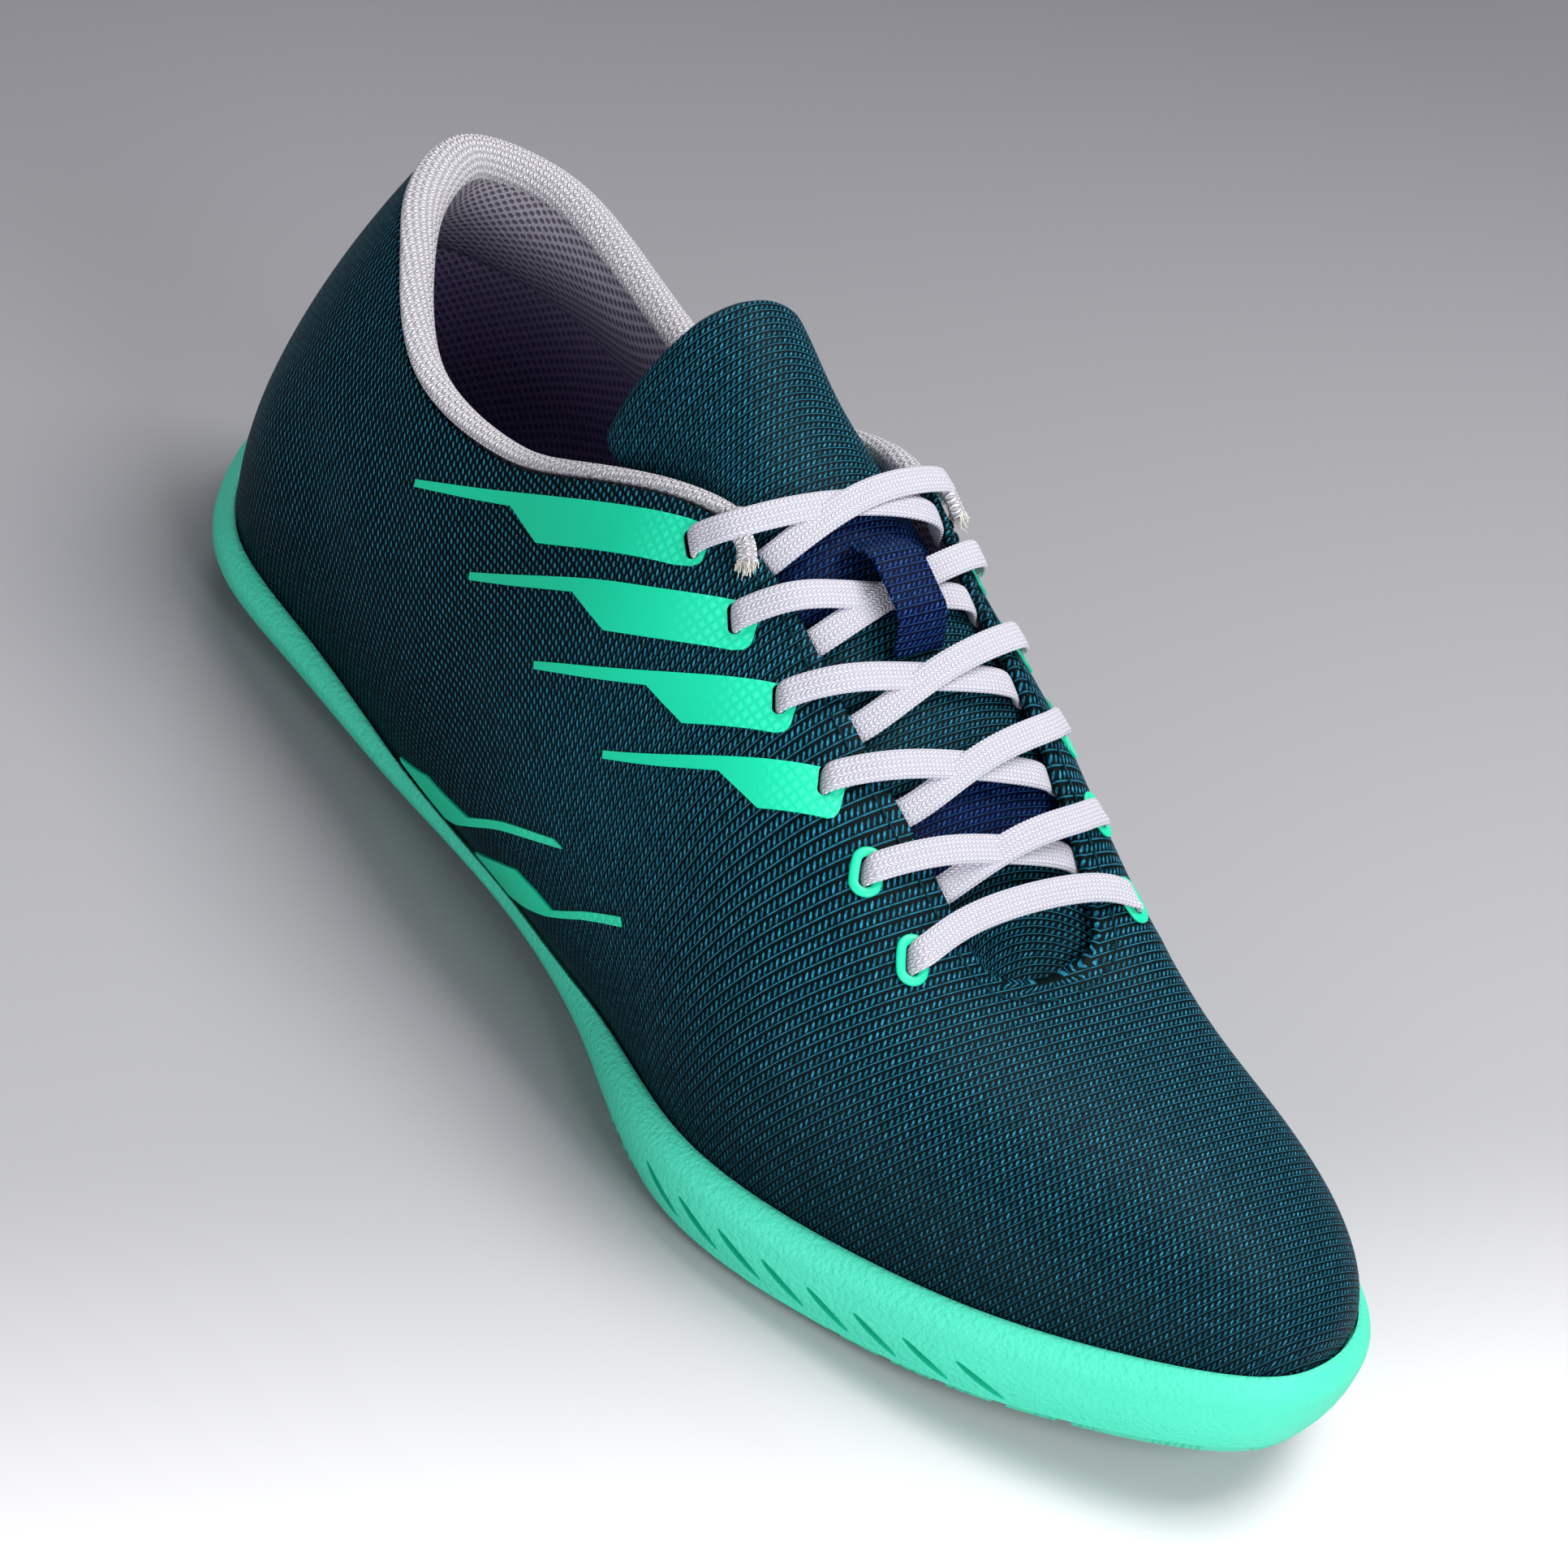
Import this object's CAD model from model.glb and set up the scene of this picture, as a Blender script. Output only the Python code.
# Indoor soccer shoe: woven upper, knit collar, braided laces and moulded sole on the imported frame
import random
from math import comb, pi, radians

import bmesh
import bpy
import numpy as np
from mathutils import Matrix, Vector


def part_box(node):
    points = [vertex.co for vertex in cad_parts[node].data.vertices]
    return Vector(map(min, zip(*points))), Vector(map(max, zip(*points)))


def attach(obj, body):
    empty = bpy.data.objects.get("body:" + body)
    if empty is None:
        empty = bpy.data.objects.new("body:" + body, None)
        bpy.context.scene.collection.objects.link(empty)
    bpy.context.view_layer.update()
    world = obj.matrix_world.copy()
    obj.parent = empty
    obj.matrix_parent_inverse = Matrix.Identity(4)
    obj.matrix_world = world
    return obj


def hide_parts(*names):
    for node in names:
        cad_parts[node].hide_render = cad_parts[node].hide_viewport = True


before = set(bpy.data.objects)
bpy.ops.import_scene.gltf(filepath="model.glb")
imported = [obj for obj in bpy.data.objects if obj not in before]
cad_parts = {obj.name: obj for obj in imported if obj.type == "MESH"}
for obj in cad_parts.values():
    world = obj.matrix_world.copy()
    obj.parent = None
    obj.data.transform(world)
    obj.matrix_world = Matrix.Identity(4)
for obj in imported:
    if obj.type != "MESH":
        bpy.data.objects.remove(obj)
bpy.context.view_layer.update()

random.seed(7)

# Sizes of the shoe in metres, and the sections of its last. Toe towards +X, outer side of the foot towards -Y
shoe = {
    "length": 0.288, "ballWidth": 0.101, "heelHeight": 0.090, "instepHeight": 0.092, "soleEdge": 0.015,
    "soleRidge": 0.0034, "toeSpring": 0.011, "heelLift": 0.0025, "waistLift": 0.0015, "wall": 0.0020,
    "gap": 0.0003, "tread": 0.0014, "cupDepth": 0.0016, "tabThickness": 0.0006, "slotLength": 0.0053,
    "slotWidth": 0.0024, "heelFlat": 0.07, "toeFlat": 0.76, "archStart": 0.30, "archEnd": 0.55,
}
sides = {"lateral": -1, "medial": 1}

feather = (  # along, half width to the lateral and to the medial side of the centre line
    (0.000, 0.000, 0.000), (0.035, 0.205, 0.203), (0.100, 0.328, 0.292), (0.200, 0.338, 0.315),
    (0.320, 0.338, 0.300), (0.440, 0.345, 0.290), (0.560, 0.409, 0.320), (0.680, 0.505, 0.366),
    (0.780, 0.458, 0.356), (0.870, 0.368, 0.345), (0.940, 0.236, 0.276), (1.000, 0.000, 0.000))
centreLine = ((0.00, 0.000), (0.30, -0.035), (0.55, -0.024), (0.75, 0.012), (0.90, 0.052), (1.00, 0.052))
soleEdge = ((0.00, 1.00), (0.08, 0.86), (0.20, 0.74), (0.31, 0.58), (0.41, 0.48), (0.51, 0.62), (0.60, 0.88),
            (0.72, 1.02), (0.85, 1.10), (1.00, 1.12))
soleRidge = (  # along, ridge lateral, ridge medial, undercut
    (0.00, 0.85, 0.85, 1.30), (0.15, 0.90, 0.90, 1.60), (0.25, 0.70, 0.65, 1.60), (0.34, 0.25, 0.25, 1.65),
    (0.43, 0.10, 0.10, 1.70), (0.52, 0.08, 0.08, 1.40), (0.60, 0.70, 0.75, 0.25), (0.70, 1.10, 1.05, -0.75),
    (0.82, 1.15, 1.10, -0.85), (0.92, 1.15, 1.10, -0.75), (1.00, 1.00, 1.00, -0.50))
soleProfile = (  # shares of ridge, undercut and height, from the underside up
    (0.00, 1.00, 0.00), (0.45, 0.45, 0.13), (0.86, 0.12, 0.36), (1.00, 0.00, 0.62), (0.90, 0.00, 0.80),
    (0.40, 0.00, 0.97), (0.00, 0.00, 1.00))
ribNames = ("foot", "topX", "topY", "heel", "instep", "lateralDrop",
            "belly", "bellyRise", "shoulder", "shoulderRise", "crown", "crownRise")
ribs = (
    (0.00, 0.065, 0.000, 0.958, 0.000, 0.000, 0.024, 0.28, 0.008, 0.55, -0.012, 0.85),
    (0.04, 0.089, 0.144, 0.934, 0.000, 0.014, 0.032, 0.28, 0.012, 0.55, -0.018, 0.85),
    (0.12, 0.136, 0.233, 0.885, 0.000, 0.016, 0.054, 0.28, 0.044, 0.55, -0.004, 0.85),
    (0.21, 0.208, 0.300, 0.785, 0.000, 0.022, 0.054, 0.28, 0.060, 0.55, 0.014, 0.85),
    (0.30, 0.292, 0.293, 0.480, 0.298, 0.014, 0.082, 0.27, 0.071, 0.55, 0.030, 0.85),
    (0.38, 0.352, 0.281, 0.120, 0.726, 0.002, 0.140, 0.22, 0.096, 0.55, 0.059, 0.82),
    (0.44, 0.444, 0.232, 0.000, 0.984, 0.010, 0.172, 0.20, 0.128, 0.55, 0.075, 0.84),
    (0.52, 0.519, 0.184, 0.000, 0.936, 0.016, 0.155, 0.21, 0.122, 0.60, 0.065, 0.90),
    (0.60, 0.590, 0.180, 0.000, 0.836, 0.016, 0.078, 0.26, 0.088, 0.62, 0.056, 0.93),
    (0.68, 0.660, 0.160, 0.000, 0.708, 0.000, 0.036, 0.28, 0.054, 0.66, 0.044, 0.95),
    (0.80, 0.714, 0.130, 0.000, 0.588, 0.000, 0.014, 0.34, -0.010, 0.70, 0.024, 0.90),
    (0.92, 0.726, 0.069, 0.000, 0.548, 0.000, 0.003, 0.40, -0.040, 0.72, 0.010, 0.86),
    (1.00, 0.729, 0.000, 0.000, 0.540, 0.000, 0.003, 0.42, -0.032, 0.72, 0.010, 0.84))
lastRib = len(ribs) - 1
lean = (0.0, 0.12, 0.55)
eyelets = (  # rib, share of the way up it, and turn of the slot in degrees
    (6.17, 0.915, 62), (6.84, 0.870, 60), (7.56, 0.866, 58), (8.27, 0.872, 56), (8.96, 0.850, 50),
    (9.55, 0.826, 44))


def smoothCurve(knots, values, at):  # natural cubic through a table's rows
    knots = np.asarray(knots, float)
    values = np.asarray(values, float)
    count = len(knots)
    step = np.diff(knots)
    slope = np.diff(values) / step
    matrix = np.eye(count)
    right = np.zeros(count)
    for row in range(1, count - 1):
        matrix[row, row - 1:row + 2] = step[row - 1], 2 * (step[row - 1] + step[row]), step[row]
        right[row] = 6 * (slope[row] - slope[row - 1])
    bend = np.linalg.solve(matrix, right)
    at = np.asarray(at, float)
    k = np.clip(np.searchsorted(knots, at) - 1, 0, count - 2)
    t = at - knots[k]
    linear = slope[k] - step[k] * (2 * bend[k] + bend[k + 1]) / 6
    return values[k] + t * linear + t ** 2 * bend[k] / 2 + t ** 3 * (bend[k + 1] - bend[k]) / (6 * step[k])


def turnOf(along):
    return np.arccos(1 - 2 * np.clip(along, 0, 1)) / pi


def alongOf(turn):
    return (1 - np.cos(pi * turn)) / 2


def tableColumn(table, column, at):
    return smoothCurve([row[0] for row in table], [row[column] for row in table], at)


def centreAt(along):  # sideways place of the centre line
    return shoe["ballWidth"] * tableColumn(centreLine, 1, along)


def ribValue(name, rib):  # mirrored past the heel and the toe
    column = ribNames.index(name)
    values = [row[column] for row in ribs]
    if name == "foot":
        values = list(turnOf(np.array(values)))
    sign = -1 if name in ("foot", "topY") else 1
    end = 2.0 if name == "foot" else 0.0
    before = [sign * values[k] for k in (3, 2, 1)]
    after = [end + sign * values[lastRib - k] for k in (1, 2, 3)]
    return smoothCurve(np.arange(-3, lastRib + 4), before + values + after, rib)


def footTurn(rib):
    return np.clip(ribValue("foot", rib), 0, 1)


def groundLine(along):
    heel = shoe["heelLift"] * np.clip(1 - along / shoe["heelFlat"], 0, 1) ** 1.6
    toe = shoe["toeSpring"] * np.clip((along - shoe["toeFlat"]) / (1 - shoe["toeFlat"]), 0, 1) ** 1.7
    span = shoe["archEnd"] - shoe["archStart"]
    waist = shoe["waistLift"] * np.sin(pi * np.clip((along - shoe["archStart"]) / span, 0, 1)) ** 2
    return heel + toe + waist


def featherHeight(along):
    return groundLine(along) + shoe["soleEdge"] * tableColumn(soleEdge, 1, along)


def outline(turn, side, out=0.0):  # the feather line in plan
    def plan(place):
        along = alongOf(place)
        turns = [turnOf(row[0]) for row in feather]
        half = smoothCurve(turns, [row[1 if side < 0 else 2] for row in feather], place)
        x = shoe["soleRidge"] + (shoe["length"] - 2 * shoe["soleRidge"]) * along
        return np.stack([x, shoe["ballWidth"] * (tableColumn(centreLine, 1, along) + side * half)], -1)
    small = 1e-3
    ahead = plan(turn + small * (turn < 0.5)) - plan(turn - small * (turn >= 0.5))
    ends = (turn < small) | (turn > 1 - small)
    across = np.stack([ahead[..., 1], -ahead[..., 0]], -1) * -side
    across /= np.linalg.norm(across, axis=-1)[..., None]
    across = np.where(ends[..., None], np.stack([np.where(turn < 0.5, -1.0, 1.0), 0 * turn], -1), across)
    return plan(turn) + across * np.asarray(out, float)[..., None], across


shoeShift = np.zeros(3)


def lastPoint(rib, share, side, out=0.0):  # outside of the last at a rib and a share of the way up it
    rib, share = np.broadcast_arrays(np.asarray(rib, float), np.asarray(share, float))

    def surface(rib, share):
        turn = footTurn(rib)
        foot, across = outline(turn, side)
        base = featherHeight(alongOf(turn)) - shoe["cupDepth"] + shoe["gap"]
        topX = shoe["length"] * ribValue("topX", rib)
        centre = centreAt(np.clip(topX / shoe["length"], 0, 1))
        top = np.stack([topX, centre + side * shoe["ballWidth"] * ribValue("topY", rib)], -1)
        height = shoe["heelHeight"] * ribValue("heel", rib) + shoe["instepHeight"] * ribValue("instep", rib)
        if side < 0:
            height = height - shoe["heelHeight"] * ribValue("lateralDrop", rib)
        rise = height - base
        points = [np.concatenate([foot, base[..., None]], -1)]
        for name, inward in zip(("belly", "shoulder", "crown"), lean):
            swell = across * shoe["ballWidth"] * ribValue(name, rib)[..., None]
            level = base + rise * ribValue(name + "Rise", rib)
            points.append(np.concatenate([foot * (1 - inward) + top * inward + swell, level[..., None]], -1))
        points.append(np.concatenate([top, height[..., None]], -1))
        weights = [comb(4, k) * share ** k * (1 - share) ** (4 - k) for k in range(5)]
        return sum(weight[..., None] * point for weight, point in zip(weights, points))

    place = surface(rib, share)
    if np.any(np.asarray(out) != 0):
        small = 2e-3
        before, after = (np.clip(rib + step, 0, lastRib) for step in (-small, small))
        below, over = (np.clip(share + step, 0, 1) for step in (-small, small))
        ahead = surface(after, share) - surface(before, share)
        above = surface(rib, over) - surface(rib, below)
        normal = np.cross(ahead, above) * -side
        middle = (rib < small) | (rib > lastRib - small)
        normal[..., 1] = np.where(middle, 0, normal[..., 1])
        normal /= np.linalg.norm(normal, axis=-1)[..., None]
        place = place + normal * np.asarray(out, float)[..., None]
    return place + shoeShift


def ribDirection(rib, side):
    step = lastPoint(rib, 1.0, side) - lastPoint(rib, 0.985, side)
    return step / np.linalg.norm(step, axis=-1)[..., None]


def unit(vector):
    return np.asarray(vector) / np.linalg.norm(vector)


# The last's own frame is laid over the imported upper
packedRows = np.meshgrid(np.linspace(0, lastRib, 43), np.linspace(0, 1, 10))
coarse = [lastPoint(*packedRows, side) for side in sides.values()]
corner = [min(part[..., k].min() for part in coarse) for k in (0, 1)]
shoeShift = np.array([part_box("upper")[0][k] - corner[k] for k in (0, 1)] + [0.0])
print("last laid over the frame, shift in mm", np.round(shoeShift * 1000, 2))


# Camera and stage
cameraLook = {"azimuth": 40.0, "elevation": 34.8, "roll": 21.4, "lens": 122.3, "distance": 0.921,
              "target": (0.141, 0.003, 0.034)}


def makeCamera():
    azimuth, elevation, roll = (radians(cameraLook[key]) for key in ("azimuth", "elevation", "roll"))
    level = np.cos(elevation)
    back = np.array([np.sin(azimuth) * level, -np.cos(azimuth) * level, np.sin(elevation)])
    right = np.array([np.cos(azimuth), np.sin(azimuth), 0.0])
    up = np.cross(back, right)
    across = np.cos(roll) * right + np.sin(roll) * up
    over = np.cos(roll) * up - np.sin(roll) * right
    camera = addObject("camera", bpy.data.cameras.new("camera"))
    place = np.array(cameraLook["target"]) + shoeShift + back * cameraLook["distance"]
    matrix = Matrix.Identity(4)
    for row in range(3):
        matrix[row] = across[row], over[row], back[row], place[row]
    camera.matrix_world = matrix
    camera.data.lens = cameraLook["lens"]
    camera.data.sensor_width = 36
    camera.data.clip_start = 0.02
    bpy.context.scene.camera = camera


stageLook = {
    "floorSize": 8.0, "nearColour": (0.80, 0.80, 0.81), "midColour": (0.36, 0.36, 0.375),
    "farColour": (0.135, 0.135, 0.150), "worldColour": (0.78, 0.80, 0.86), "worldStrength": 0.26,
    "aim": (0.0, 0.0, 0.04), "upPicture": (-0.96, 0.27), "nearFade": (-0.19, -0.04), "farFade": (-0.08, 0.36),
    "rim": (0.45, 1.40)}
lampLook = (  # name, place, size, watts, colour
    ("overhead", (0.10, 0.45, 1.15), 0.7, 17.0, (1.0, 0.985, 0.97)),
    ("toe_side", (1.05, -0.10, 0.70), 0.6, 9.0, (0.96, 0.98, 1.0)),
    ("near_fill", (0.65, -1.05, 0.35), 0.7, 8.0, (0.95, 0.97, 1.0)),
    ("heel_rim", (-0.95, 0.45, 0.75), 0.5, 4.5, (0.97, 0.97, 1.0)))


def makeStage():
    mesh = bpy.data.meshes.new("floor")
    half = stageLook["floorSize"] / 2
    corners = [(-half, -half, 0), (half, -half, 0), (half, half, 0), (-half, half, 0)]
    mesh.from_pydata(corners, [], [(0, 1, 2, 3)])
    floor = addObject("floor", mesh)
    material, tree, shader = newMaterial("paleFloor", 0.8, specular=0.2)
    x, y, _ = separate(tree, objectPlace(tree))
    away = plus(tree, times(tree, x, stageLook["upPicture"][0]), times(tree, y, stageLook["upPicture"][1]))
    far = mapRange(tree, away, *stageLook["farFade"], smooth=False)
    back = mixColour(tree, far, stageLook["midColour"], stageLook["farColour"])
    rim = mapRange(tree, lengthOf(tree, x, y), *stageLook["rim"])
    back = mixColour(tree, rim, back, stageLook["nearColour"])
    near = mapRange(tree, away, *stageLook["nearFade"])
    colourInto(tree, shader, mixColour(tree, near, stageLook["nearColour"], back))
    mesh.materials.append(material)
    world = bpy.data.worlds.new("softbox")
    bpy.context.scene.world = world
    world.use_nodes = True
    light = world.node_tree.nodes["Background"].inputs
    light["Color"].default_value = (*stageLook["worldColour"], 1)
    light["Strength"].default_value = stageLook["worldStrength"]
    for name, place, size, watts, colour in lampLook:
        lamp = bpy.data.lights.new(name, "AREA")
        lamp.energy = watts
        lamp.size = size
        lamp.color = colour
        holder = addObject(name, lamp)
        holder.location = place
        holder.rotation_euler = (Vector(place) - Vector(stageLook["aim"])).to_track_quat("Z", "Y").to_euler()
    bpy.context.scene.view_settings.view_transform = "Standard"


# Small helpers for node trees
def mathNode(tree, operation, *values):
    node = tree.nodes.new("ShaderNodeMath")
    node.operation = operation
    for k, value in enumerate(values):
        if isinstance(value, (int, float)):
            node.inputs[k].default_value = value
        else:
            tree.links.new(value, node.inputs[k])
    return node.outputs[0]


def plus(tree, first, second):
    return mathNode(tree, "ADD", first, second)


def minus(tree, first, second):
    return mathNode(tree, "SUBTRACT", first, second)


def times(tree, first, second):
    return mathNode(tree, "MULTIPLY", first, second)


def divide(tree, first, second):
    return mathNode(tree, "DIVIDE", first, second)


def stepIn(tree, value):  # the place inside a repeat, from -0.5 to 0.5
    return minus(tree, mathNode(tree, "FRACT", value), 0.5)


def lengthOf(tree, x, y):
    return mathNode(tree, "SQRT", plus(tree, times(tree, x, x), times(tree, y, y)))


def mapRange(tree, value, low, high, toLow=0.0, toHigh=1.0, smooth=True):
    node = tree.nodes.new("ShaderNodeMapRange")
    node.interpolation_type = "SMOOTHSTEP" if smooth else "LINEAR"
    node.clamp = True
    tree.links.new(value, node.inputs["Value"])
    for name, number in (("From Min", low), ("From Max", high), ("To Min", toLow), ("To Max", toHigh)):
        node.inputs[name].default_value = number
    return node.outputs["Result"]


def mixColour(tree, factor, first, second):
    node = tree.nodes.new("ShaderNodeMix")
    node.data_type = "RGBA"
    for socket, value in ((node.inputs[0], factor), (node.inputs[6], first), (node.inputs[7], second)):
        if isinstance(value, tuple):
            socket.default_value = (*value, 1)
        elif isinstance(value, (int, float)):
            socket.default_value = value
        else:
            tree.links.new(value, socket)
    return node.outputs[2]


def noiseOf(tree, vector, scale, detail=2.0):
    node = tree.nodes.new("ShaderNodeTexNoise")
    node.inputs["Scale"].default_value = scale
    node.inputs["Detail"].default_value = detail
    tree.links.new(vector, node.inputs["Vector"])
    return node.outputs["Fac"]


def newGroup(name, inputs, outputs):
    group = bpy.data.node_groups.new(name, "ShaderNodeTree")
    group.interface.new_socket(name="Vector", in_out="INPUT", socket_type="NodeSocketVector")
    for label, value in inputs.items():
        socket = group.interface.new_socket(name=label, in_out="INPUT", socket_type="NodeSocketFloat")
        socket.default_value = value
    for label in outputs:
        group.interface.new_socket(name=label, in_out="OUTPUT", socket_type="NodeSocketFloat")
    given, result = group.nodes.new("NodeGroupInput"), group.nodes.new("NodeGroupOutput")
    return group, given.outputs, result.inputs


def placeGroup(tree, group, vector, **values):
    node = tree.nodes.new("ShaderNodeGroup")
    node.node_tree = group
    tree.links.new(vector, node.inputs["Vector"])
    for name, value in values.items():
        node.inputs[name].default_value = value
    return node


def uvOf(tree, name):
    node = tree.nodes.new("ShaderNodeUVMap")
    node.uv_map = name
    return node.outputs["UV"]


def separate(tree, vector):
    node = tree.nodes.new("ShaderNodeSeparateXYZ")
    tree.links.new(vector, node.inputs[0])
    return node.outputs


def buildLoopRows():  # rows of slanted loops under a fine thread, over a dark ground
    group, given, result = newGroup(
        "loopRows",
        {"Row Pitch": 1.4, "Loop Pitch": 1.2, "Slant": 1.2, "Loop Height": 0.34, "Loop Length": 0.27},
        ("Loop", "Thread", "Height"))
    x, y, _ = separate(group, given["Vector"])
    row = divide(group, x, given["Row Pitch"])
    across = stepIn(group, row)
    staggered = times(group, mathNode(group, "FLOOR", row), 0.5)
    shifted = plus(group, divide(group, y, given["Loop Pitch"]), staggered)
    along = stepIn(group, plus(group, shifted, times(group, across, given["Slant"])))
    tall = divide(group, plus(group, across, 0.08), given["Loop Height"])
    wide = divide(group, along, given["Loop Length"])
    loop = mapRange(group, lengthOf(group, tall, wide), 1.04, 0.68)
    away = mathNode(group, "ABSOLUTE", minus(group, across, 0.33))
    thread = mapRange(group, away, 0.090, 0.030)
    group.links.new(loop, result["Loop"])
    group.links.new(thread, result["Thread"])
    group.links.new(plus(group, loop, times(group, thread, 0.8)), result["Height"])
    return group


def buildKnitHoles():  # small pits in staggered rows
    group, given, result = newGroup("knitHoles", {"Pitch": 2.6, "Hole": 0.26}, ("Pit", "Height"))
    x, y, _ = separate(group, given["Vector"])
    row = divide(group, times(group, x, 2.0), given["Pitch"])
    across = times(group, stepIn(group, row), 0.5)
    staggered = times(group, mathNode(group, "FLOOR", row), 0.5)
    along = stepIn(group, plus(group, divide(group, y, given["Pitch"]), staggered))
    reach = divide(group, lengthOf(group, across, along), given["Hole"])
    pit = minus(group, 1.0, mapRange(group, reach, 0.45, 1.0))
    group.links.new(pit, result["Pit"])
    group.links.new(minus(group, 1.0, pit), result["Height"])
    return group


def buildStitchKnit():  # columns of small v-shaped stitches
    group, given, result = newGroup(
        "stitchKnit", {"Column": 0.9, "Stitch": 0.8, "Slope": 0.7}, ("Height", "Groove"))
    x, y, _ = separate(group, given["Vector"])
    fold = mathNode(group, "ABSOLUTE", stepIn(group, divide(group, x, given["Column"])))
    lift = times(group, fold, times(group, given["Slope"], 2.0))
    climb = plus(group, divide(group, y, given["Stitch"]), lift)
    stitch = mapRange(group, mathNode(group, "ABSOLUTE", stepIn(group, climb)), 0.5, 0.12)
    ridge = mapRange(group, mathNode(group, "ABSOLUTE", minus(group, fold, 0.25)), 0.25, 0.10)
    height = times(group, stitch, ridge)
    group.links.new(height, result["Height"])
    group.links.new(minus(group, 1.0, height), result["Groove"])
    return group


def buildGrain():  # fine moulded grain with broad, faint cloudiness
    group, given, result = newGroup("mouldGrain", {"Fine": 900.0, "Broad": 25.0}, ("Height", "Cloud"))
    for scale, detail, name in (("Fine", 2.0, "Height"), ("Broad", 3.0, "Cloud")):
        node = group.nodes.new("ShaderNodeTexNoise")
        node.inputs["Detail"].default_value = detail
        group.links.new(given["Vector"], node.inputs["Vector"])
        group.links.new(given[scale], node.inputs["Scale"])
        group.links.new(node.outputs["Fac"], result[name])
    return group


loopRows, knitHoles = buildLoopRows(), buildKnitHoles()
stitchKnit, mouldGrain = buildStitchKnit(), buildGrain()


def newMaterial(name, roughness, specular=0.5, sheen=0.0):
    material = bpy.data.materials.new(name)
    material.use_nodes = True
    shader = material.node_tree.nodes["Principled BSDF"]
    shader.inputs["Roughness"].default_value = roughness
    shader.inputs["Specular IOR Level"].default_value = specular
    shader.inputs["Sheen Weight"].default_value = sheen
    return material, material.node_tree, shader


def bumpInto(tree, shader, height, distance, strength=1.0):
    bump = tree.nodes.new("ShaderNodeBump")
    bump.inputs["Distance"].default_value = distance
    bump.inputs["Strength"].default_value = strength
    tree.links.new(height, bump.inputs["Height"])
    tree.links.new(bump.outputs["Normal"], shader.inputs["Normal"])


def colourInto(tree, shader, colour):
    tree.links.new(colour, shader.inputs["Base Color"])


def objectPlace(tree):
    return tree.nodes.new("ShaderNodeTexCoord").outputs["Object"]


# Woven fabric: UVs hold millimetres along the foot and round it
weaveLook = {
    "upper": {
        "rows": {"Row Pitch": 1.30, "Loop Pitch": 1.20, "Slant": 1.15},
        "ground": (0.0006, 0.0042, 0.0048), "loop": (0.008, 0.115, 0.190), "thread": (0.036, 0.300, 0.460)},
    "navy": {
        "rows": {"Row Pitch": 1.40, "Loop Pitch": 1.20, "Slant": 1.1},
        "ground": (0.0010, 0.0016, 0.0120), "loop": (0.006, 0.036, 0.190), "thread": (0.020, 0.120, 0.380)},
}
navyBands = ((-91.0, -72.0), (-41.0, -27.0))  # on the tongue, millimetres from its tip
weaveFades = {  # where a fade starts and ends, then its two values
    "thread": (-0.045, 0.040, 0.05, 1.0), "heel": (-0.020, 0.060, 0.40, 0.0),
    "low": (0.010, 0.050, 0.25, 1.0), "uneven": (0.30, 0.62, 0.55, 1.0), "glint": (0.52, 0.66)}


def weaveMaterial(name, look, onUpper=False, bands=()):
    material, tree, shader = newMaterial(name, 0.5, specular=0.04)
    uv = uvOf(tree, "fabric")
    place = objectPlace(tree)
    rows = placeGroup(tree, loopRows, uv, **look["rows"])
    ground, loopColour, threadColour = look["ground"], look["loop"], look["thread"]
    if bands:
        u, _, _ = separate(tree, uv)
        inside = [times(tree, mapRange(tree, u, low - 1, low), mapRange(tree, u, high + 1, high))
                  for low, high in bands]
        mask = mathNode(tree, "MAXIMUM", *inside)
        navy = weaveLook["navy"]
        ground, loopColour, threadColour = (mixColour(tree, mask, first, second) for first, second in (
            (ground, navy["ground"]), (loopColour, navy["loop"]), (threadColour, navy["thread"])))
    loop, thread = rows.outputs["Loop"], times(tree, rows.outputs["Thread"], 0.5)
    if onUpper:  # loops stand alone on the heel, and both sink into the dark low on the sides
        x, _, z = separate(tree, place)
        thread = times(tree, thread, mapRange(tree, x, *weaveFades["thread"]))
        onHeel = mapRange(tree, x, *weaveFades["heel"])
        loopColour = mixColour(tree, onHeel, loopColour, threadColour)
        low = mapRange(tree, z, *weaveFades["low"])
        loop, thread = times(tree, loop, low), times(tree, thread, low)
    uneven = mapRange(tree, noiseOf(tree, place, 900.0, 1.0), *weaveFades["uneven"])
    colour = mixColour(tree, times(tree, loop, uneven), ground, loopColour)
    glint = mapRange(tree, noiseOf(tree, place, 1500.0, 0.0), *weaveFades["glint"])
    colour = mixColour(tree, times(tree, times(tree, loop, glint), 0.6), colour, threadColour)
    colour = mixColour(tree, times(tree, thread, uneven), colour, threadColour)
    colourInto(tree, shader, colour)
    bumpInto(tree, shader, rows.outputs["Height"], 0.00035, 0.8)
    return material


# Knit of the collar: purple deep inside, pale at the top
knitLook = {
    "deep": (0.105, 0.080, 0.190), "top": (0.56, 0.53, 0.58), "deepPit": (0.045, 0.032, 0.090),
    "topPit": (0.17, 0.14, 0.18), "heights": (0.045, 0.098), "rollLow": (0.64, 0.62, 0.66),
    "rollHigh": (0.90, 0.88, 0.91), "rollGroove": (0.32, 0.30, 0.36)}


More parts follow.
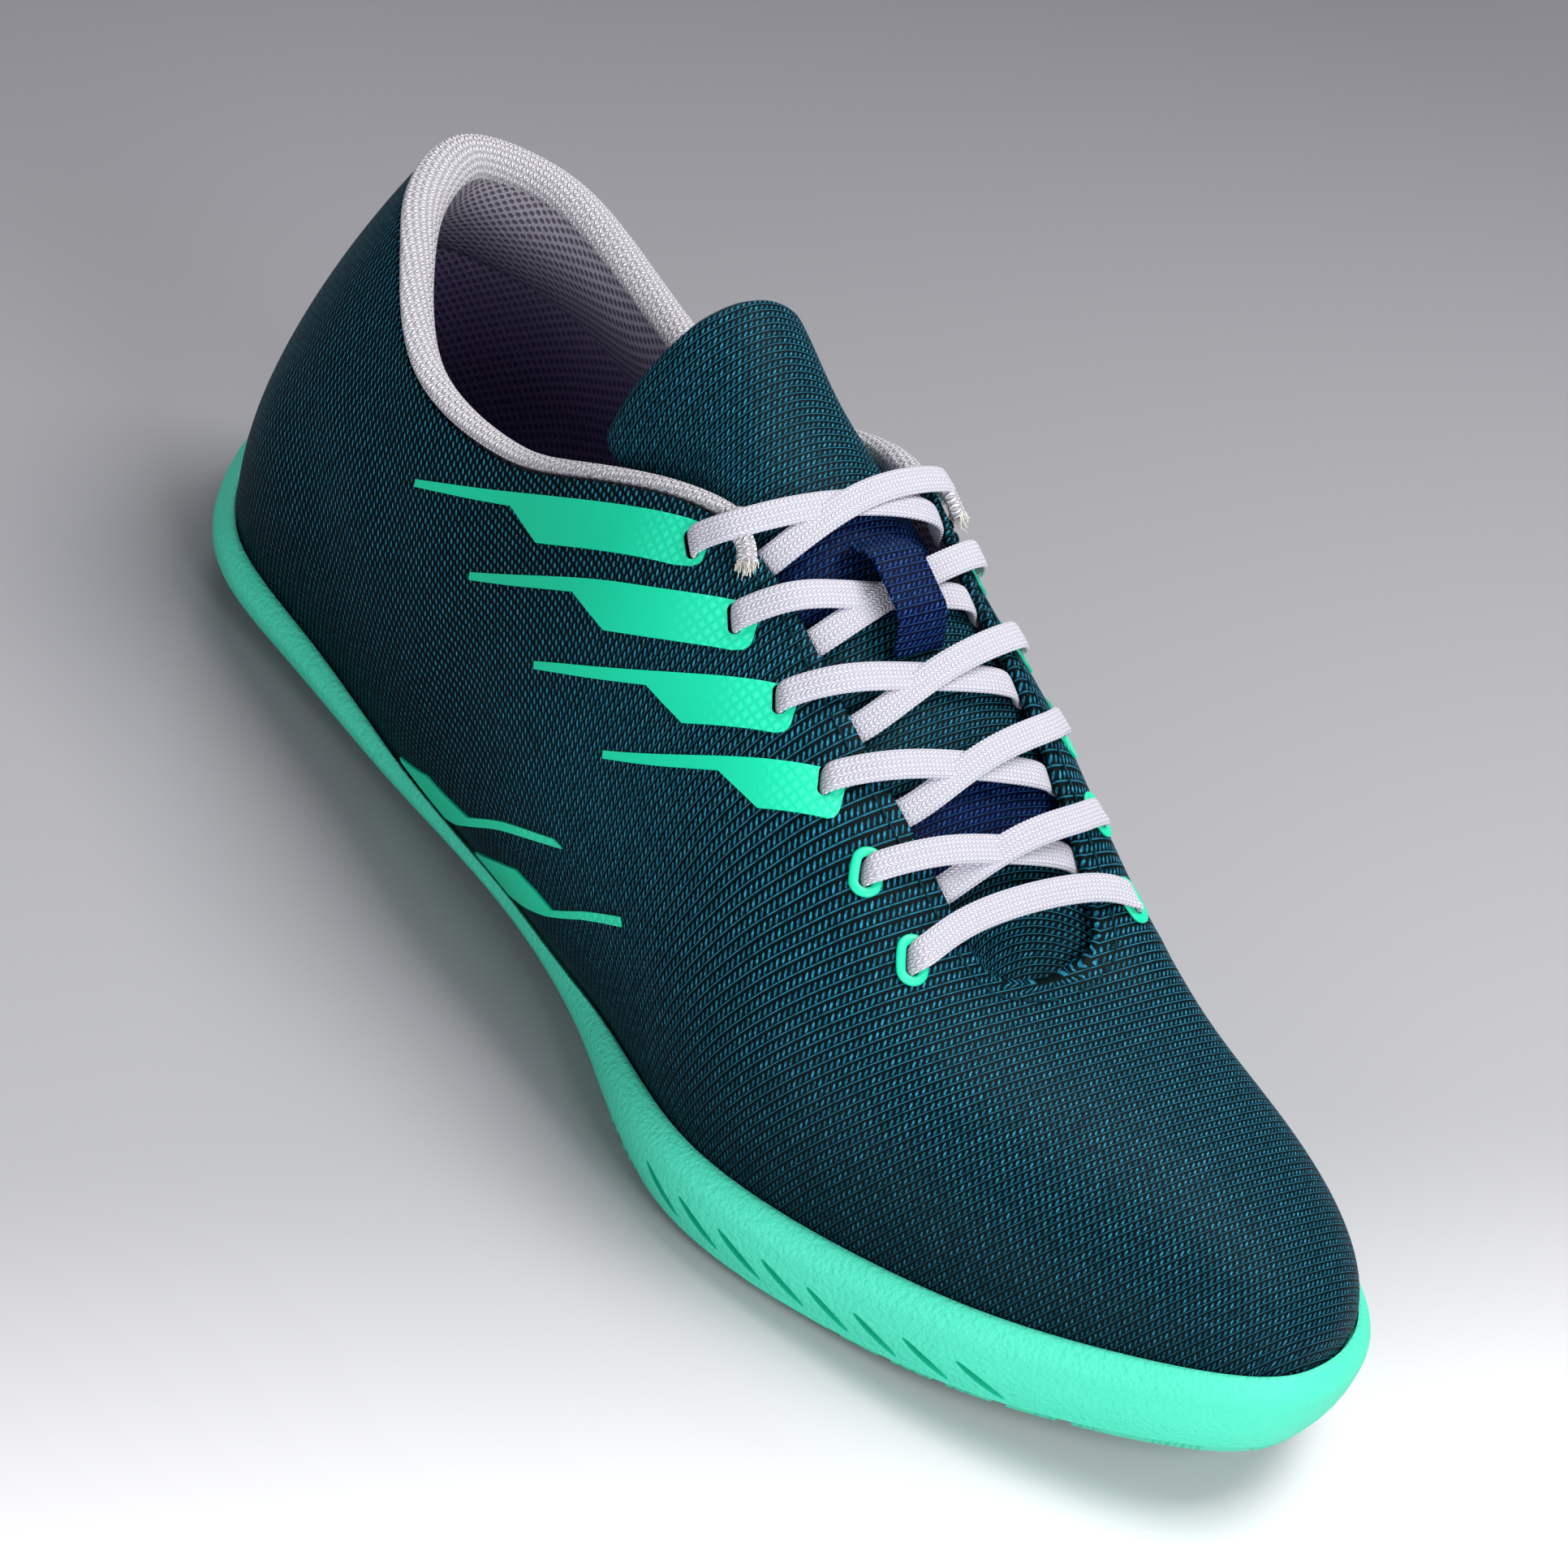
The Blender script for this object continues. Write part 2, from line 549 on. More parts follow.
def liningMaterial():
    material, tree, shader = newMaterial("liningMesh", 0.85, specular=0.15, sheen=0.1)
    holes = placeGroup(tree, knitHoles, uvOf(tree, "fabric"), Pitch=2.3, Hole=0.30)
    place = objectPlace(tree)
    high = mapRange(tree, separate(tree, place)[2], *knitLook["heights"])
    cloth = mixColour(tree, high, knitLook["deep"], knitLook["top"])
    pits = mixColour(tree, high, knitLook["deepPit"], knitLook["topPit"])
    colourInto(tree, shader, mixColour(tree, holes.outputs["Pit"], cloth, pits))
    fuzz = times(tree, noiseOf(tree, place, 1500.0), 0.5)
    bumpInto(tree, shader, plus(tree, holes.outputs["Height"], fuzz), 0.0006, 0.9)
    return material


def rollMaterial():
    material, tree, shader = newMaterial("collarKnit", 0.9, specular=0.15, sheen=0.15)
    knit = placeGroup(tree, stitchKnit, uvOf(tree, "fabric"), Column=1.7, Stitch=1.35, Slope=0.8)
    fuzz = noiseOf(tree, objectPlace(tree), 1500.0, 3.0)
    pale = mixColour(tree, fuzz, knitLook["rollLow"], knitLook["rollHigh"])
    groove = times(tree, knit.outputs["Groove"], 0.5)
    colourInto(tree, shader, mixColour(tree, groove, pale, knitLook["rollGroove"]))
    bumpInto(tree, shader, plus(tree, knit.outputs["Height"], times(tree, fuzz, 0.6)), 0.0008, 1.0)
    return material


braidLook = {"low": (0.57, 0.56, 0.63), "high": (0.76, 0.75, 0.81), "groove": (0.30, 0.29, 0.38)}


def laceMaterial():
    material, tree, shader = newMaterial("laceBraid", 0.75, specular=0.2, sheen=0.1)
    along, width, _ = separate(tree, uvOf(tree, "fabric"))
    turned = tree.nodes.new("ShaderNodeCombineXYZ")
    tree.links.new(width, turned.inputs[0])
    tree.links.new(along, turned.inputs[1])
    braid = placeGroup(tree, stitchKnit, turned.outputs[0], Column=1.45, Stitch=0.85, Slope=0.9)
    fuzz = noiseOf(tree, objectPlace(tree), 2400.0)
    pale = mixColour(tree, fuzz, braidLook["low"], braidLook["high"])
    groove = times(tree, braid.outputs["Groove"], 0.55)
    colourInto(tree, shader, mixColour(tree, groove, pale, braidLook["groove"]))
    bumpInto(tree, shader, braid.outputs["Height"], 0.0003, 0.9)
    return material


# Moulded parts: film with a diamond lattice, grained sole and clear tread
mintLook = {
    "film": (0.003, 0.600, 0.330), "filmShine": (0.05, 0.80, 0.50), "lattice": 1.15,
    "latticeFrom": (-17.0, -6.0), "soleLow": (0.045, 0.580, 0.385), "soleHigh": (0.075, 0.640, 0.440),
    "slit": (0.008, 0.500, 0.300), "clearLow": (0.52, 0.55, 0.58), "clearHigh": (0.68, 0.70, 0.72),
    "clearOverMint": (0.05, 0.46, 0.31), "clearFade": (-0.030, 0.020), "treadPitch": 0.0028,
    "zigzagPitch": 0.0125, "zigzagReach": 0.008}


def filmMaterial():
    material, tree, shader = newMaterial("mintFilm", 0.42, specular=0.4)
    x, y, _ = separate(tree, uvOf(tree, "fabric"))
    rising = mathNode(tree, "PINGPONG", plus(tree, x, y), mintLook["lattice"])
    falling = mathNode(tree, "PINGPONG", minus(tree, x, y), mintLook["lattice"])
    lattice = mathNode(tree, "MINIMUM", rising, falling)
    near = mapRange(tree, x, *mintLook["latticeFrom"])
    shine = times(tree, near, mapRange(tree, lattice, 0.0, 1.0, 0.0, 0.5))
    colourInto(tree, shader, mixColour(tree, shine, mintLook["film"], mintLook["filmShine"]))
    bumpInto(tree, shader, times(tree, lattice, near), 0.00012, 0.7)
    return material


def rubberMaterial():
    material, tree, shader = newMaterial("mintRubber", 0.58, specular=0.35)
    grain = placeGroup(tree, mouldGrain, objectPlace(tree), Fine=1100.0, Broad=30.0)
    body = mixColour(tree, grain.outputs["Cloud"], mintLook["soleLow"], mintLook["soleHigh"])
    colourInto(tree, shader, body)
    bumpInto(tree, shader, grain.outputs["Height"], 0.0004, 0.9)
    return material


def clearMaterial():  # fine zigzag tread, and the forefoot lets the mint through
    material, tree, shader = newMaterial("clearRubber", 0.32, specular=0.5)
    place = objectPlace(tree)
    grain = placeGroup(tree, mouldGrain, place, Fine=500.0, Broad=20.0)
    x, y, _ = separate(tree, place)
    pale = mixColour(tree, grain.outputs["Cloud"], mintLook["clearLow"], mintLook["clearHigh"])
    body = mixColour(tree, mapRange(tree, x, *mintLook["clearFade"]), pale, mintLook["clearOverMint"])
    colourInto(tree, shader, body)
    fold = mathNode(tree, "ABSOLUTE", stepIn(tree, times(tree, y, 1 / mintLook["zigzagPitch"])))
    shifted = plus(tree, x, times(tree, fold, mintLook["zigzagReach"]))
    wave = mathNode(tree, "SINE", times(tree, shifted, 2 * pi / mintLook["treadPitch"]))
    bumpInto(tree, shader, wave, 0.0004, 0.8)
    return material


insoleLook = {"low": (0.26, 0.24, 0.33), "high": (0.40, 0.38, 0.47)}


def insoleMaterial():
    material, tree, shader = newMaterial("insoleCloth", 0.9, specular=0.2, sheen=0.1)
    fine = noiseOf(tree, objectPlace(tree), 1600.0)
    colourInto(tree, shader, mixColour(tree, fine, insoleLook["low"], insoleLook["high"]))
    bumpInto(tree, shader, fine, 0.0003, 0.6)
    return material


def yarnMaterial(name, colour):
    material, tree, shader = newMaterial(name, 0.8, specular=0.08)
    fine = noiseOf(tree, objectPlace(tree), 2500.0)
    colourInto(tree, shader, mixColour(tree, fine, tuple(0.6 * c for c in colour), colour))
    return material


materials = {
    "upper": weaveMaterial("upperWeave", weaveLook["upper"], onUpper=True),
    "tongue": weaveMaterial("tongueWeave", weaveLook["upper"], bands=navyBands),
    "navy": weaveMaterial("navyWebbing", weaveLook["navy"]),
    "lining": liningMaterial(), "roll": rollMaterial(), "lace": laceMaterial(), "film": filmMaterial(),
    "rubber": rubberMaterial(), "clear": clearMaterial(), "insole": insoleMaterial(),
    "seam": yarnMaterial("seamThread", (0.004, 0.032, 0.045)),
    "groove": yarnMaterial("slitMint", mintLook["slit"]),
    "fibre": yarnMaterial("frayedYarn", (0.86, 0.83, 0.76)),
}
print("materials made")


# Mesh helpers
def addObject(name, mesh):
    piece = bpy.data.objects.new(name, mesh)
    bpy.context.scene.collection.objects.link(piece)
    return piece


def addGrid(name, grid, uv, used, columnSlots=None, closed=False, flip=False):  # one or more joined grids
    grids = [grid] if isinstance(grid, np.ndarray) else grid
    uvs = [uv] if isinstance(uv, np.ndarray) else uv
    flips = flip if isinstance(flip, (list, tuple)) else [flip] * len(grids)
    points, quads, places, slots = [], [], [], []
    start = 0
    for cloth, chart, turned in zip(grids, uvs, flips):
        rows, columns = cloth.shape[:2]
        index = start + np.arange(rows * columns).reshape(rows, columns)
        right = np.roll(index, -1, axis=1) if closed else index[:, 1:]
        left = index if closed else index[:, :-1]
        quad = np.stack([left[:-1], right[:-1], right[1:], left[1:]], -1).reshape(-1, 4)
        quads.append(quad[:, ::-1] if turned else quad)
        if columnSlots is not None:
            slots.append(np.broadcast_to(columnSlots, (rows - 1, left.shape[1])).reshape(-1))
        points.append(cloth.reshape(-1, 3))
        places.append(chart.reshape(-1, 2))
        start += rows * columns
    quads = np.concatenate(quads)
    places = np.concatenate(places)
    mesh = bpy.data.meshes.new(name)
    mesh.from_pydata(np.concatenate(points).tolist(), [], quads.tolist())
    layer = mesh.uv_layers.new(name="fabric")
    layer.data.foreach_set("uv", places[quads.reshape(-1)].reshape(-1))
    if slots:
        mesh.polygons.foreach_set("material_index", np.concatenate(slots).astype(np.int32))
    for material in used:
        mesh.materials.append(material)
    return addObject(name, mesh)


def finishShape(shape, name, used=()):  # a bmesh becomes an object
    bmesh.ops.recalc_face_normals(shape, faces=shape.faces)
    mesh = bpy.data.meshes.new(name)
    shape.to_mesh(mesh)
    shape.free()
    for material in used:
        mesh.materials.append(material)
    return addObject(name, mesh)


def tidyMesh(piece, merge=2e-6):
    shape = bmesh.new()
    shape.from_mesh(piece.data)
    bmesh.ops.remove_doubles(shape, verts=shape.verts, dist=merge)
    bmesh.ops.dissolve_degenerate(shape, edges=shape.edges, dist=1e-7)
    bmesh.ops.recalc_face_normals(shape, faces=shape.faces)
    shape.to_mesh(piece.data)
    shape.free()
    piece.data.shade_smooth()


def keep(piece, slot, *nodes):
    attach(piece, "root")
    if nodes:
        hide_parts(*nodes)
    return piece


def cutWith(piece, cutter, name):
    cut = piece.modifiers.new(name, "BOOLEAN")
    cut.object = cutter
    cut.solver = "EXACT"
    graph = bpy.context.evaluated_depsgraph_get()
    mesh = bpy.data.meshes.new_from_object(piece.evaluated_get(graph))
    old = piece.data
    piece.modifiers.clear()
    piece.data = mesh
    bpy.data.meshes.remove(old)


def closeOpen(piece, bridge=False):  # caps the two open ends of a tube, or joins the edges of two sheets
    shape = bmesh.new()
    shape.from_mesh(piece.data)
    edges = [edge for edge in shape.edges if edge.is_boundary]
    if bridge:
        bmesh.ops.bridge_loops(shape, edges=edges)
    else:
        bmesh.ops.holes_fill(shape, edges=edges, sides=0)
    bmesh.ops.recalc_face_normals(shape, faces=shape.faces)
    shape.to_mesh(piece.data)
    shape.free()


def arcLength(points, axis=0):
    steps = np.linalg.norm(np.diff(points, axis=axis), axis=-1)
    pad = [(0, 0)] * steps.ndim
    pad[axis] = (1, 0)
    return np.pad(np.cumsum(steps, axis=axis), pad)


def joinRings(shape, rings):  # side faces and the two ends of a small solid
    for low, high in zip(rings, rings[1:]):
        for k in range(len(low)):
            after = (k + 1) % len(low)
            shape.faces.new((low[k], low[after], high[after], high[k]))
    shape.faces.new(rings[0][::-1])
    shape.faces.new(rings[-1])


# Upper: one shell with a rounded edge, folded throat and soft creases
upperLook = {"ribs": 250, "shares": 62, "innerRows": 14, "rimSteps": 6, "rowLean": 0.45, "leanStart": 0.010,
             "leanSpan": 0.080, "heelRib": 3.0, "stations": 120, "reach": 0.16, "reachSteps": 400}
creases = (  # side, from rib and share, to rib and share, width and depth in mm (a ridge is negative)
    (-1, 1.6, 0.52, 3.2, 0.30, 7.0, 0.9), (-1, 2.6, 0.80, 3.9, 0.46, 6.0, 0.6),
    (-1, 8.1, 0.70, 9.4, 0.62, 5.0, 0.8), (-1, 9.4, 0.80, 10.3, 0.70, 4.0, 0.5),
    (-1, 6.6, 0.42, 8.4, 0.52, 6.0, 0.5), (-1, 4.4, 0.48, 6.0, 0.34, 8.0, 0.7),
    (-1, 7.6, 0.30, 9.6, 0.40, 8.0, -0.5), (1, 1.6, 0.50, 3.2, 0.30, 7.0, 0.8),
    (1, 8.3, 0.72, 9.6, 0.62, 5.0, 0.7), (1, 4.4, 0.48, 6.0, 0.34, 8.0, 0.7),
    (1, 6.8, 0.42, 8.8, 0.50, 7.0, 0.5))


def creaseDepth(share, side, here):
    depth = np.zeros(here.shape[:-1])
    for creaseSide, ribA, shareA, ribB, shareB, width, deep in creases:
        if creaseSide != side:
            continue
        a, b = lastPoint(ribA, shareA, side), lastPoint(ribB, shareB, side)
        along = np.clip(((here - a) @ (b - a)) / ((b - a) @ (b - a)), 0, 1)
        away = np.linalg.norm(here - (a + along[..., None] * (b - a)), axis=-1)
        fade = np.sin(pi * np.clip(along, 0.04, 0.96)) ** 0.7
        depth -= deep * 0.001 * fade * np.exp(-(away / (width * 0.001)) ** 2)
    return depth * np.clip((1 - share) * 9, 0, 1) * np.clip(share * 8, 0, 1)


def skinPoint(rib, share, side, lift=0.0):
    return lastPoint(rib, share, side, creaseDepth(share, side, lastPoint(rib, share, side)) + lift)


def fabricChart(points, side):  # millimetres along the foot, and down from its middle line
    x, z = points[..., 0], points[..., 2]
    stations = np.linspace(x.min() + 0.004, x.max() - 0.0005, upperLook["stations"])
    reach = np.linspace(0, upperLook["reach"], upperLook["reachSteps"])

    def middleAt(place):  # the centre line beside the throat, and the toe's own ridge past it
        along = np.clip((np.minimum(place, x[-1, -1]) - shoeShift[0]) / shoe["length"], 0, 1)
        beside = centreAt(along) + shoeShift[1]
        ridge = np.interp(place, x[-1, ::-1], points[-1, ::-1, 1])
        end = centreAt((x[-1, -1] - shoeShift[0]) / shoe["length"]) + shoeShift[1]
        return beside - end + ridge

    table, tops = [], []
    for place in stations:
        inside = [j for j in range(x.shape[1] - 1, -1, -1) if x[0, j] < place < x[-1, j]]
        line = np.array([[np.interp(place, x[:, j], points[:, j, k]) for k in (1, 2)] for j in inside])
        line[:, 0] = abs(line[:, 0] - middleAt(place))
        if place > x[-1, -1]:  # past the throat the section runs on to the middle line
            line = np.concatenate([[[0.0, np.interp(place, x[-1, ::-1], z[-1, ::-1])]], line])
        tops.append(line[0, 1])
        travel = np.maximum.accumulate(line[:, 0] + line[0, 1] - line[:, 1])
        table.append(np.interp(reach, travel, line[0, 0] + arcLength(line)))
    table = np.array(table)
    spot = np.clip(np.interp(x, stations, np.arange(len(stations))), 0, len(stations) - 1.001)
    travel = np.clip(abs(points[..., 1] - middleAt(x)) + np.interp(x, stations, tops) - z, 0, None)
    column = np.clip(travel / reach[1], 0, len(reach) - 1.001)
    row, over = spot.astype(int), column.astype(int)
    a, b = spot - row, column - over
    down = ((1 - a) * (1 - b) * table[row, over] + a * (1 - b) * table[row + 1, over]
            + (1 - a) * b * table[row, over + 1] + a * b * table[row + 1, over + 1])
    ramp = np.clip((x - upperLook["leanStart"]) / upperLook["leanSpan"], 0, 1)
    along = x - upperLook["rowLean"] * ramp ** 2 * (3 - 2 * ramp) * z
    heel = int(np.searchsorted(np.linspace(0, lastRib, len(x)), upperLook["heelRib"]))
    back = arcLength(points)
    along[:heel] = along[heel] - (back[heel] - back[:heel])
    down[:heel] = down[heel]
    return np.stack([along, down * side], -1) * 1000


def makeUpper():
    ribAt = np.linspace(0, lastRib, upperLook["ribs"] + 1)
    half = shoe["wall"] / 2
    grids, charts = [], []
    for side in sides.values():
        length = arcLength(lastPoint(ribAt[:, None], np.linspace(0, 1, 30)[None], side), 1)[:, -1]
        rim = half / length[:, None]
        rise = np.linspace(0, 1, upperLook["shares"])[None] * (1 - rim)
        swing = np.linspace(0, pi, upperLook["rimSteps"] + 2)[None, 1:-1]
        fall = np.linspace(1, 0, upperLook["innerRows"])[None] * (1 - rim)
        share = np.concatenate([rise, 1 - rim + rim * np.sin(swing), fall], 1)
        out = np.concatenate([0 * rise, -half + half * np.cos(swing) + 0 * rim, -shoe["wall"] + 0 * fall], 1)
        rib = ribAt[:, None] + 0 * share
        smoothPoints = lastPoint(rib, share, side)
        crease = creaseDepth(share, side, smoothPoints)
        grids.append(lastPoint(rib, share, side, out + crease))
        outer = upperLook["shares"] + upperLook["rimSteps"]
        chart = fabricChart(smoothPoints[:, :upperLook["shares"]], side)
        tail = np.repeat(chart[:, -1:], upperLook["rimSteps"], 1)
        tail[..., 1] -= side * np.linspace(0.3, 2.0, upperLook["rimSteps"])
        inner = arcLength(smoothPoints[:, outer:], 1) * 1000
        along = arcLength(smoothPoints[:, upperLook["shares"] // 2]) * 1000
        charts.append(np.concatenate([chart, tail, np.stack([along[:, None] + 0 * inner, inner], -1)], 1))
    columnSlots = np.where(np.arange(grids[0].shape[1]) < outer, 0, 1)
    upper = addGrid("wovenUpper", grids, charts, [materials["upper"], materials["lining"]], columnSlots,
                    closed=True, flip=[True, False])
    tidyMesh(upper)
    cutter = slotCutter()
    cutWith(upper, cutter, "slots")
    keep(upper, "mesh_fabric", "upper")
    print("upper made,", len(upper.data.polygons), "faces")
    return cutter


def slotFrame(row, side):  # centre, outward normal and long direction of a lace slot
    rib, share, turn = eyelets[row]
    centre = Vector(lastPoint(rib, share, side))
    normal = (Vector(lastPoint(rib, share, side, 0.001)) - centre).normalized()
    up = Vector(ribDirection(rib, side))
    up = (up - normal * up.dot(normal)).normalized()
    ahead = normal.cross(up) * side
    if ahead.x < 0:
        ahead = -ahead
    angle = radians(turn)
    return centre, normal, (ahead * np.sin(angle) - up * np.cos(angle)).normalized()


slotDepths, slotCorners = (-0.0045, 0.0030), 16


def slotCutter():
    shape = bmesh.new()
    radius = shoe["slotWidth"] / 2
    for side in sides.values():
        for row in range(len(eyelets)):
            centre, normal, length = slotFrame(row, side)
            width = normal.cross(length)
            rings = []
            for depth in slotDepths:
                ring = []
                for k in range(slotCorners):
                    angle = 2 * pi * (k + 0.5) / slotCorners
                    flat = (shoe["slotLength"] / 2 - radius) * (1 if np.cos(angle) > 0 else -1)
                    place = centre + normal * depth + width * radius * np.sin(angle)
                    ring.append(shape.verts.new(place + length * (flat + radius * np.cos(angle))))
                rings.append(ring)
            joinRings(shape, rings)
    return finishShape(shape, "slotCutter")


# Collar lining: padded inside, with a knit roll over the edge
liningLook = {"stations": 150, "steps": 5, "pad": 0.0058, "gap": 0.0005, "roll": 0.0036, "reach": 6.29}
stubLook = {"start": 6.15, "width": 0.0034, "height": 0.0026, "edgeRib": 6.6, "rows": 26, "fibres": 170,
            "fibreRoot": 0.0006, "fibreLength": (0.0002, 0.0010), "fibreRadius": 0.00013,
            "path": ((6.34, 1.0, 0.0017), (6.46, 0.985, 0.0019), (6.56, 0.962, 0.0018))}
# Rib, share of its lower edge, and padding
liningRows = ((0.0, 0.58, 1.00), (3.0, 0.61, 0.72), (4.4, 0.68, 0.55), (5.3, 0.88, 0.47), (6.45, 0.955, 0.41))


def closedCurve(points, steps):  # smooth loop through a section's points
    before, after, beyond = np.roll(points, 1, 0), np.roll(points, -1, 0), np.roll(points, -2, 0)
    out = []
    for t in np.arange(steps) / steps:
        square = 2 * before - 5 * points + 4 * after - beyond
        cube = 3 * points - before - 3 * after + beyond
        out.append(0.5 * (2 * points + (after - before) * t + square * t ** 2 + cube * t ** 3))
    return np.stack(out, 1).reshape(-1, 3)


def liningSection(rib, side):  # up the inside of the upper, over its edge and down the padding
    ribAt = [row[0] for row in liningRows]
    lower, pad = (float(np.interp(rib, ribAt, [row[k] for row in liningRows])) for k in (1, 2))
    pad *= liningLook["pad"]
    middle = (lower + 0.98) / 2
    gap, roll = liningLook["gap"], liningLook["roll"]
    inner = shoe["wall"] + gap
    full = inner + pad
    edge = lastPoint(rib, 1.0, side)
    inward = unit(edge - lastPoint(rib, 1.0, side, 0.001))
    up = ribDirection(rib, side)

    def inside(share, depth):
        return lastPoint(rib, share, side, -depth)

    def over(depth, height):
        return edge + inward * depth + up * height

    return np.array([
        inside(lower, inner), inside(middle, inner), inside(0.985, inner), over(inner, gap), over(0.0, gap),
        over(-shoe["gap"], 0.5 * roll), over(0.25 * full, 0.95 * roll), over(0.65 * full, roll),
        over(full, 0.45 * roll), inside(0.97, full), inside(middle, full), inside(lower, inner + 0.25 * pad)])


def makeLining():
    places = np.linspace(-liningLook["reach"], liningLook["reach"], 2 * liningLook["stations"] + 1)
    steps = liningLook["steps"]
    rings = [liningSection(abs(place), -1 if place < 0 else 1) for place in places]
    sections = np.array([closedCurve(ring, steps) for ring in rings])
    around = arcLength(sections, 1) * 1000
    along = arcLength(sections[:, 6 * steps]) * 1000
    chart = np.stack([along[:, None] + 0 * around, around], -1)
    column = np.arange(sections.shape[1])
    isRoll = np.where((column >= 4 * steps) & (column < 8 * steps + 2), 1, 0)
    cloths = [materials["lining"], materials["roll"]]
    lining = addGrid("collarLining", sections, chart, cloths, isRoll, closed=True)
    tidyMesh(lining)
    closeOpen(lining)
    keep(lining, "lining_knit", "collar_lining")
    tufts = bmesh.new()
    for sideName, side in sides.items():  # cut ends of the knit, laid over the throat's edge
        knots = [liningSection(stubLook["start"], side)[5:9].mean(0)]
        knots += [lastPoint(rib, share, side, lift) for rib, share, lift in stubLook["path"]]
        path = smoothPath(knots, stubLook["rows"])
        across = lastPoint(stubLook["edgeRib"], 1.0, side) - lastPoint(stubLook["edgeRib"], 0.98, side)
        across = np.repeat(across[None], len(path), 0)
        stub = addBand(f"collarStub_{sideName}", path, across, materials["roll"], stubLook, round=True)
        keep(stub, "lining_knit")
        ahead = unit(path[-1] - path[-3])
        for _ in range(stubLook["fibres"]):
            lean = np.array([random.uniform(-1, 1) for _ in range(3)])
            start = path[-1] + lean * stubLook["height"] * 0.35
            tip = start + (ahead + lean * 0.8) * random.uniform(*stubLook["fibreLength"])
            addFibre(tufts, start - ahead * stubLook["fibreRoot"], tip, stubLook["fibreRadius"])
    finishFibres(tufts, "collarFray", materials["fibre"], "lining_knit")
    print("lining made")


def addFibre(shape, start, end, radius):
    axis = Vector(end - start)
    bend = axis.orthogonal().normalized() * axis.length * random.uniform(-0.25, 0.25)
    rings = []
    for t in (0.0, 0.5, 1.0):
        middle = Vector(start) + axis * t + bend * (4 * t * (1 - t))
        first = axis.orthogonal().normalized()
        second = axis.normalized().cross(first)
        size = radius * (1 - 0.4 * t)
        rings.append([shape.verts.new(middle + first * size * np.cos(a) + second * size * np.sin(a))
                      for a in (0, 2 * pi / 3, 4 * pi / 3)])
    joinRings(shape, rings)


def finishFibres(shape, name, material, slot):
    piece = finishShape(shape, name, [material])
    piece.data.shade_smooth()
    keep(piece, slot)


# Tongue: padded sheet under the laces
tongueLook = {"thickness": 0.0045, "clearance": 0.0016, "reach": 0.012, "rows": 130, "columns": 64,
              "edge": 0.0028, "arm": 0.36}
tongueUnder = (  # rib, share of its edge and clearance, under the throat
    (10.35, 0.86, 0.9), (9.60, 0.82, 1.0), (8.80, 0.82, 1.0), (8.00, 0.84, 1.0), (7.30, 0.86, 1.1),
    (6.70, 0.88, 2.0))
tongueFree = (  # place along the shoe, height, half width, height of the edge and how far it swings back
    (0.428, 1.070, 0.182, 0.905, 0.000), (0.392, 1.138, 0.188, 0.870, 0.006),
    (0.362, 1.185, 0.202, 0.865, 0.014), (0.350, 1.200, 0.196, 0.900, 0.012))
tongueTip = ((0.42, -0.35), (1.0, -0.60))  # rows past the lowest one, ahead and up


def tongueRows():
    rows = []
    for rib, lower, clearance in tongueUnder:
        depth = shoe["wall"] + tongueLook["clearance"] * clearance
        shares = np.linspace(lower, 1.0, 4)
        near = lastPoint(rib, shares, -1, -depth + 0 * shares)
        far = lastPoint(rib, shares, 1, -depth + 0 * shares)[::-1]
        span = np.linalg.norm(far[0] - near[-1])
        nearArm = near[-1] + ribDirection(rib, -1) * span * tongueLook["arm"]
        farArm = far[0] + ribDirection(rib, 1) * span * tongueLook["arm"]
        knots = (near[-1], nearArm, farArm, far[0])
        arch = [sum(comb(3, k) * t ** k * (1 - t) ** (3 - k) * knots[k] for k in range(4))
                for t in (0.2, 0.4, 0.6, 0.8)]
        rows.append(np.concatenate([near, arch, far]))
    shares = np.linspace(-1, 1, 12)
    for x, middle, half, edge, back in tongueFree:
        swing = shares * pi / 2
        low = shoe["instepHeight"] * edge
        across = shoe["ballWidth"] * (tableColumn(centreLine, 1, x) + half * np.sin(swing))
        height = low + (shoe["instepHeight"] * middle - low) * np.cos(swing) ** 0.9
        rows.append(np.stack([shoe["length"] * (x - back * shares ** 2), across, height], -1) + shoeShift)
    tip = [rows[0] + tongueLook["reach"] * np.array([forward, 0.0, up]) for forward, up in tongueTip]
    return np.array(tip[::-1] + rows)


def resample(grid, count, axis):  # smooth curves through a grid's rows or columns
    grid = np.moveaxis(grid, axis, 0)
    knots = arcLength(grid).mean(axis=tuple(range(1, grid.ndim - 1)))
    at = np.linspace(0, knots[-1], count)
    flat = grid.reshape(len(grid), -1)
    fine = np.stack([smoothCurve(knots, flat[:, k], at) for k in range(flat.shape[1])], -1)
    return np.moveaxis(fine.reshape(count, *grid.shape[1:]), 0, axis)


